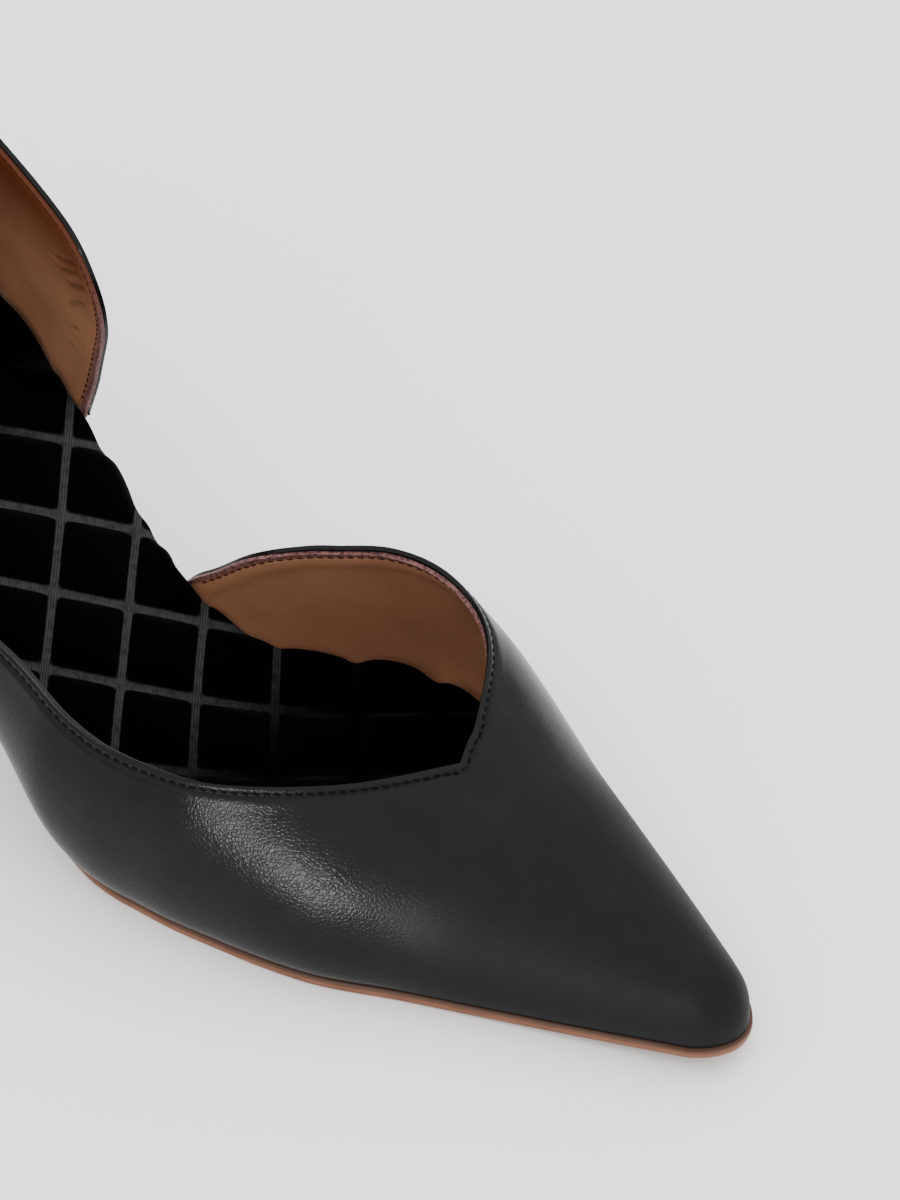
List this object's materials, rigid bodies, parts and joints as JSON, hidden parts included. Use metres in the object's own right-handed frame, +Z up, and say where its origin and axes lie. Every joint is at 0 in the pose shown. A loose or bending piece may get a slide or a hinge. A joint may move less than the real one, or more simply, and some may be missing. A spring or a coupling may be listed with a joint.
{
  "type": "dorsay pump",
  "caption": "Right-foot d'Orsay pump in black leather with a pointed toe, V throat, open sides, quilted velvet insole and slim covered heel.",
  "frame": {"origin": "centre of the heel tip's flat underside, on the floor", "axes": "+X towards the toe tip, +Y towards the inner (medial) side of the foot, +Z up"},
  "size_m": [0.2609, 0.0874, 0.1178],
  "materials": {
    "black_leather": "satin",
    "quarter_leather": "satin",
    "heel_leather": "satin",
    "sole_leather": "satin",
    "black_velvet": "matte",
    "tip_rubber": "matte"
  },
  "bodies": {
    "root": {"vamp": "black_leather", "quarter": "quarter_leather", "heel": "heel_leather", "outsole": "sole_leather", "insole": "black_velvet", "heel_tip": "tip_rubber"}
  },
  "joints": []
}
